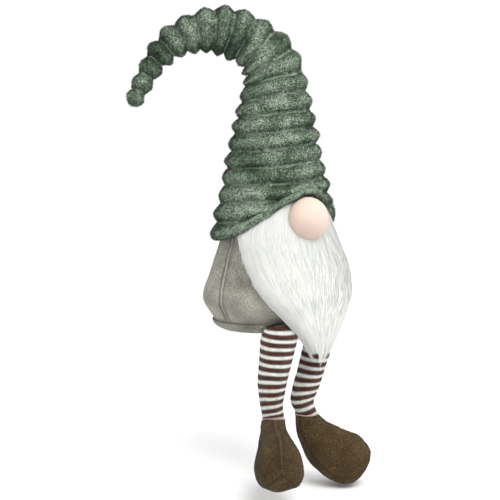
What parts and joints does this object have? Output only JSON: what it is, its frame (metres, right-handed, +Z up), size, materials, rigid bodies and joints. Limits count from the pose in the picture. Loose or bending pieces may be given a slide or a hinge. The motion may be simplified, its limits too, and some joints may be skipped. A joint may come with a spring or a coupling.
{
  "type": "edge-sitting gnome figurine",
  "caption": "Soft tomte gnome that sits on a shelf edge: tall curled ribbed hat, ball nose, fur beard, round felt body and dangling striped stocking legs in soft boots.",
  "frame": {"origin": "centre of the flat seat face under the body", "axes": "+Z up, -Y the way the gnome faces, +X towards its left hand side; the legs hang below the origin in front of the seat face"},
  "size_m": [0.2371, 0.2359, 0.5838],
  "materials": {
    "hat_plush": "brushed ribbed plush",
    "fur": "long straight white pile",
    "body_felt": "mottled grey wool felt",
    "nose_jersey": "smooth matt jersey",
    "boot_fleece": "short-napped brown fleece",
    "boot_sole_fleece": "short-napped brown fleece",
    "striped_knit": "plain knit with brown and cream stripes",
    "thread": "soft sewing thread",
    "calico": "plain woven cotton",
    "wadding": "loose white fibre",
    "sand": "fine dry sand",
    "wire": "drawn steel wire"
  },
  "bodies": {
    "body": {"body_front_panel": "body_felt", "body_back_panel": "body_felt", "body_base_panel": "body_felt", "body_wadding": "wadding", "weight_bag": "calico", "weight_sand": "sand", "hat_crown_cover": "hat_plush", "hat_hem_roll": "hat_plush", "hat_crown_wadding": "wadding", "hat_crown_wire": "wire", "hat_bend_rib_1": "hat_plush", "hat_bend_wadding_1": "wadding", "nose_cover": "nose_jersey", "nose_wadding": "wadding", "nose_thread": "thread", "beard_backing": "calico", "beard_pile": "fur"},
    "hat_lower": {"hat_lower_cover": "hat_plush", "hat_lower_wadding": "wadding", "hat_lower_wire": "wire", "hat_bend_rib_2": "hat_plush", "hat_bend_wadding_2": "wadding"},
    "hat_middle": {"hat_middle_cover": "hat_plush", "hat_middle_wadding": "wadding", "hat_middle_wire": "wire", "hat_bend_rib_3": "hat_plush", "hat_bend_wadding_3": "wadding"},
    "hat_tip": {"hat_tip_cover": "hat_plush", "hat_tip_wadding": "wadding", "hat_tip_wire": "wire"},
    "right_thigh": {"right_thigh_stocking": "striped_knit", "right_thigh_wadding": "wadding", "right_knee_stocking": "striped_knit"},
    "right_shin": {"right_shin_stocking": "striped_knit", "right_shin_wadding": "wadding", "right_ankle_stocking": "striped_knit"},
    "right_foot": {"right_boot_inner_panel": "boot_fleece", "right_boot_outer_panel": "boot_fleece", "right_boot_sole": "boot_sole_fleece", "right_boot_wadding": "wadding", "right_ankle_thread": "thread"},
    "left_thigh": {"left_thigh_stocking": "striped_knit", "left_thigh_wadding": "wadding", "left_knee_stocking": "striped_knit"},
    "left_shin": {"left_shin_stocking": "striped_knit", "left_shin_wadding": "wadding", "left_ankle_stocking": "striped_knit"},
    "left_foot": {"left_boot_inner_panel": "boot_fleece", "left_boot_outer_panel": "boot_fleece", "left_boot_sole": "boot_sole_fleece", "left_boot_wadding": "wadding", "left_ankle_thread": "thread"}
  },
  "joints": [
    {"name": "hat_bend_1", "type": "hinge", "parent": "body", "child": "hat_lower", "pos_m": [-0.00081, -0.00695, 0.31384], "axis": [-0.5592, -0.829, 0], "range_deg": [-30, 12], "deforming": ["hat_bend_rib_1", "hat_bend_wadding_1"]},
    {"name": "hat_bend_2", "type": "hinge", "parent": "hat_lower", "child": "hat_middle", "pos_m": [-0.05129, 0.0271, 0.36327], "axis": [-0.5592, -0.829, 0], "range_deg": [-45, 15], "deforming": ["hat_bend_rib_2", "hat_bend_wadding_2"]},
    {"name": "hat_bend_3", "type": "hinge", "parent": "hat_middle", "child": "hat_tip", "pos_m": [-0.11381, 0.06927, 0.33682], "axis": [-0.5592, -0.829, 0], "range_deg": [-60, 30], "deforming": ["hat_bend_rib_3", "hat_bend_wadding_3"]},
    {"name": "right_hip", "type": "hinge", "parent": "body", "child": "right_thigh", "pos_m": [-0.03368, -0.06012, 0.003], "axis": [-1, 0, 0], "range_deg": [-15, 90], "deforming": ["beard_pile"]},
    {"name": "right_knee", "type": "hinge", "parent": "right_thigh", "child": "right_shin", "pos_m": [-0.04, -0.052, -0.062], "axis": [1, 0, 0], "range_deg": [-20, 55], "deforming": ["right_knee_stocking"]},
    {"name": "right_ankle", "type": "hinge", "parent": "right_shin", "child": "right_foot", "pos_m": [-0.038, -0.054, -0.106], "axis": [-0.829, 0.5592, 0], "range_deg": [-25, 25], "deforming": ["right_ankle_stocking"]},
    {"name": "left_hip", "type": "hinge", "parent": "body", "child": "left_thigh", "pos_m": [0.03283, -0.06017, 0.003], "axis": [-1, 0, 0], "range_deg": [-15, 90], "deforming": ["beard_pile"]},
    {"name": "left_knee", "type": "hinge", "parent": "left_thigh", "child": "left_shin", "pos_m": [0.022, -0.0525, -0.062], "axis": [1, 0, 0], "range_deg": [-20, 55], "deforming": ["left_knee_stocking"]},
    {"name": "left_ankle", "type": "hinge", "parent": "left_shin", "child": "left_foot", "pos_m": [0.016, -0.054, -0.106], "axis": [-0.6428, -0.766, 0], "range_deg": [-25, 25], "deforming": ["left_ankle_stocking"]}
  ]
}
